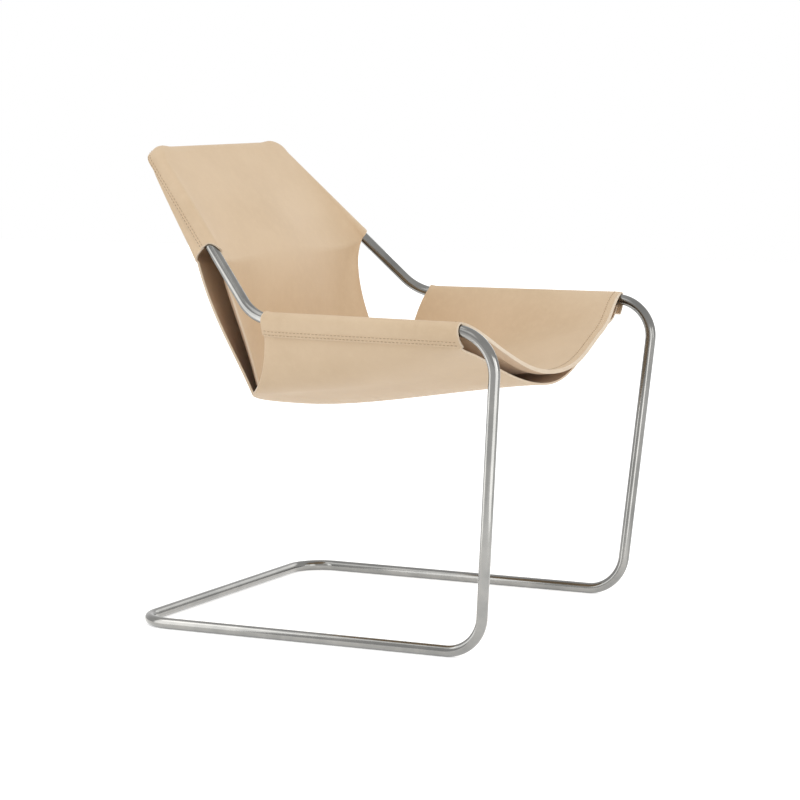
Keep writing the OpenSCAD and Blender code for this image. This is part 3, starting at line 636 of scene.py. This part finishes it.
def stitch_mesh(lines):
    """Each line is points and normals; its stitches are short bowed threads, ending in the leather."""
    verts, faces = [], []
    for pts, nor in lines:
        pts, nor = np.array(pts), np.array(nor)
        seg = np.linalg.norm(np.diff(pts, axis=0), axis=1)
        at = np.concatenate([[0], np.cumsum(seg)])
        count = max(1, int(at[-1] / STITCH_PITCH))
        for k in range(count):
            mid = (k + .5) * at[-1] / count
            ring = []
            for u in np.linspace(-1, 1, RINGS):
                s = np.clip(mid + u * STITCH_LENGTH / 2, 0, at[-1])
                p = V(*[np.interp(s, at, pts[:, c]) for c in range(3)])
                n = unit(V(*[np.interp(s, at, nor[:, c]) for c in range(3)]))
                ring.append((p + n * (.12 + THREAD_BOW * (1 - u ** 4) - .45 * (abs(u) > .99)), n))
            base = len(verts)
            for a in range(RINGS):
                p, n = ring[a]
                tau = unit(ring[min(a + 1, RINGS - 1)][0] - ring[max(a - 1, 0)][0])
                side = unit(np.cross(tau, n))
                up = np.cross(side, tau)
                rr = THREAD_R * (.55 if a in (0, RINGS - 1) else 1)
                for c in range(SIDES):
                    th = 2 * math.pi * c / SIDES
                    verts.append(p + (side * math.cos(th) + up * math.sin(th)) * rr)
            for a in range(RINGS - 1):
                for c in range(SIDES):
                    d = (c + 1) % SIDES
                    here, there = base + a * SIDES, base + (a + 1) * SIDES
                    faces.append([here + c, there + c, there + d, here + d])
            faces.append([base + c for c in range(SIDES)])
            faces.append([there + c for c in reversed(range(SIDES))])
    return verts, faces


def surface_line(grid, places):
    """Points on a grid's outer face: places are (i, j) with fractions."""
    pts, nor = [], []
    for i, j in places:
        i0, j0 = int(math.floor(i)), int(math.floor(j))
        u, v = i - i0, j - j0
        p, n = np.zeros(3), np.zeros(3)
        for a, wa in ((i0, 1 - u), (i0 + 1, u)):
            for b, wb in ((j0, 1 - v), (j0 + 1, v)):
                if wa * wb > 1e-9:
                    k = grid.at(a, b)
                    p, n = p + grid.points[k] * wa * wb, n + grid.normals[k] * wa * wb
        n = unit(n)
        pts.append(p + n * LEATHER / 2)
        nor.append(n)
    return pts, nor


def flap_column(share):
    return BELLY_N + IN_FLAP + IN_ARC + share * IN_DROP


def thread(name, node, lines):
    v, f = stitch_mesh(lines)
    ob = new_mesh(name, to_m(v), f, [yarn])
    ob.data.polygons.foreach_set("use_smooth", np.ones(len(f), bool))
    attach(ob, "root")
    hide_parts(node)


def along_flap(sign, share, first, last):
    return surface_line(inner, [(i, sign * flap_column(share)) for i in np.linspace(first, last, 60)])


def along_top(share):
    row, reach = inner.t + IN_FLAP + IN_ARC + share * IN_DROP, BELLY_N - 3
    return surface_line(inner, [(row, j) for j in np.linspace(-reach, reach, 60)])


ARM_SHARES, BACK_SHARES = (.675, .89), (.5, .85)
for sign, word in ((1, "left"), (-1, "right")):
    thread("arm_thread_" + word, "arm_stitching_" + word,
           [along_flap(sign, q, 3, inner.v - .3) for q in ARM_SHARES])
    thread("post_thread_" + word, "post_stitching_" + word,
           [along_flap(sign, q, inner.m + .3, inner.t - .01) for q in BACK_SHARES])
thread("top_thread", "top_stitching", [along_top(q) for q in BACK_SHARES])
HEM_ROW = 4.6
hem_places = [(HEM_ROW, j) for j in np.linspace(-HEM_END, HEM_END, 120)]
thread("hem_thread", "hem_stitching", [surface_line(inner, hem_places)])


# sizes of the cut leather
def flat_area(grid):
    q = grid.points[np.array(grid.quads)]
    return float(np.linalg.norm(np.cross(q[:, 2] - q[:, 0], q[:, 3] - q[:, 1]), axis=1).sum() / 2) * 1e-6


round(flat_area(inner), 3)
round(flat_area(outer), 3)

# the camera that was solved on the bar's outline, then light and floor
AZIMUTH, ELEVATION, FOCAL_PX, PHOTO_PX, SENSOR_MM = -64.0353, 6.7225, 2744.12, 800, 36.0
az, el = math.radians(AZIMUTH), math.radians(ELEVATION)
back = Vector((math.sin(az) * math.cos(el), -math.cos(az) * math.cos(el), math.sin(el)))
right = (-back).cross(Vector((0, 0, 1))).normalized()
up = right.cross(-back)
cam = bpy.data.objects.new("camera", bpy.data.cameras.new("camera"))
bpy.context.scene.collection.objects.link(cam)
CAM_X, CAM_Y, CAM_Z = -4.27864, -2.11270 + Y_SHIFT * .001, .93640
cam.matrix_world = Matrix(((right.x, up.x, back.x, CAM_X), (right.y, up.y, back.y, CAM_Y),
                           (right.z, up.z, back.z, CAM_Z), (0, 0, 0, 1)))
cam.data.sensor_fit, cam.data.sensor_width = "HORIZONTAL", SENSOR_MM
cam.data.lens = FOCAL_PX * SENSOR_MM / PHOTO_PX
cam.data.clip_end = 60
bpy.context.scene.camera = cam


def area_light(name, at, to, size, power, size_y, gloss_only=False):
    """A softbox; a gloss_only one shows in reflections and gives no diffuse light."""
    d = bpy.data.lights.new(name, "AREA")
    d.energy, d.size, d.size_y = power, size, size_y
    d.shape = "RECTANGLE"
    o = bpy.data.objects.new(name, d)
    bpy.context.scene.collection.objects.link(o)
    o.location = at
    o.rotation_euler = (Vector(to) - Vector(at)).to_track_quat("-Z", "Y").to_euler()
    o.visible_camera = False
    o.visible_diffuse = not gloss_only
    return o


area_light("front_box", (-.3, -3.6, .9), (0, 0, .5), 1.6, 11.0, 1.2)
area_light("top_box", (-2.6, .3, 2.6), (0, 0, .5), 1.4, 6.0, 1.4)
area_light("front_card", (-.47, -.86, .36), (-.34, -.36, .36), .55, 3.0, .7, True)
area_light("near_card", (-.62, .46, .4), (-.36, -.3, .4), .45, 2.6, .8, True)
area_light("right_card", (2.1, -.2, 1.1), (0, 0, .3), 1.2, 4.7, .9, True)
area_light("top_card", (-.65, .95, 2.0), (-.35, .1, 0), 1.2, 9.5, 1.9, True)
area_light("floor_card", (-.35, -.25, .003), (-.35, -.25, 1), 1.4, 4.0, 1.5, True)


def shown_rays(tree):
    """1 for camera, glossy and transmission rays, which see the white background."""
    path = tree.nodes.new("ShaderNodeLightPath").outputs
    seen = path["Is Camera Ray"]
    for ray in ("Is Glossy Ray", "Is Transmission Ray"):
        most = tree.nodes.new("ShaderNodeMath")
        most.operation = "MAXIMUM"
        tree.links.new(seen, most.inputs[0])
        tree.links.new(path[ray], most.inputs[1])
        seen = most.outputs[0]
    return seen


def studio(strength):
    """A world that lights the chair with the strength given and shows white."""
    world = bpy.data.worlds.new("studio")
    bpy.context.scene.world = world
    world.use_nodes = True
    tree = world.node_tree
    tree.nodes.clear()
    both = tree.nodes.new("ShaderNodeMixShader")
    tree.links.new(shown_rays(tree), both.inputs[0])
    for place, level in ((1, strength), (2, 1.0)):
        part = tree.nodes.new("ShaderNodeBackground")
        part.inputs[0].default_value = (1, 1, 1, 1)
        part.inputs[1].default_value = level
        tree.links.new(part.outputs[0], both.inputs[place])
    tree.links.new(both.outputs[0], tree.nodes.new("ShaderNodeOutputWorld").inputs[0])


def pale_floor(glow, half=9):
    """A pale floor that keeps the shadow and adds a glow for the rays that see the background."""
    m = Nodes("pale_floor")
    co = m.add("ShaderNodeTexCoord").outputs["Object"]
    cloud = m.add("ShaderNodeTexNoise", Vector=co, Scale=3.0, Detail=3.0)
    colour = m.mix(m.ramp(cloud.outputs[0], [(.3, 0.), (.7, 1.)]), (.86, .86, .86, 1), (.89, .89, .89, 1))
    matt = m.add("ShaderNodeBsdfDiffuse", Color=colour)
    light = m.add("ShaderNodeEmission", Color=(1, 1, 1, 1), Strength=glow)
    lit = m.add("ShaderNodeAddShader", i0=matt.outputs[0], i1=light.outputs[0])
    both = m.add("ShaderNodeMixShader", i0=shown_rays(m.t), i1=matt.outputs[0], i2=lit.outputs[0])
    square = [(-half, -half, 0), (half, -half, 0), (half, half, 0), (-half, half, 0)]
    ob = new_mesh("floor", square, [[0, 1, 2, 3]], [m.finish(both.outputs[0])])
    ob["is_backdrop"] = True


studio(.9)
pale_floor(.6)
bpy.context.scene.view_settings.view_transform = "Standard"
{"cad": as_list(cad_box), "visual": as_list(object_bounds())}
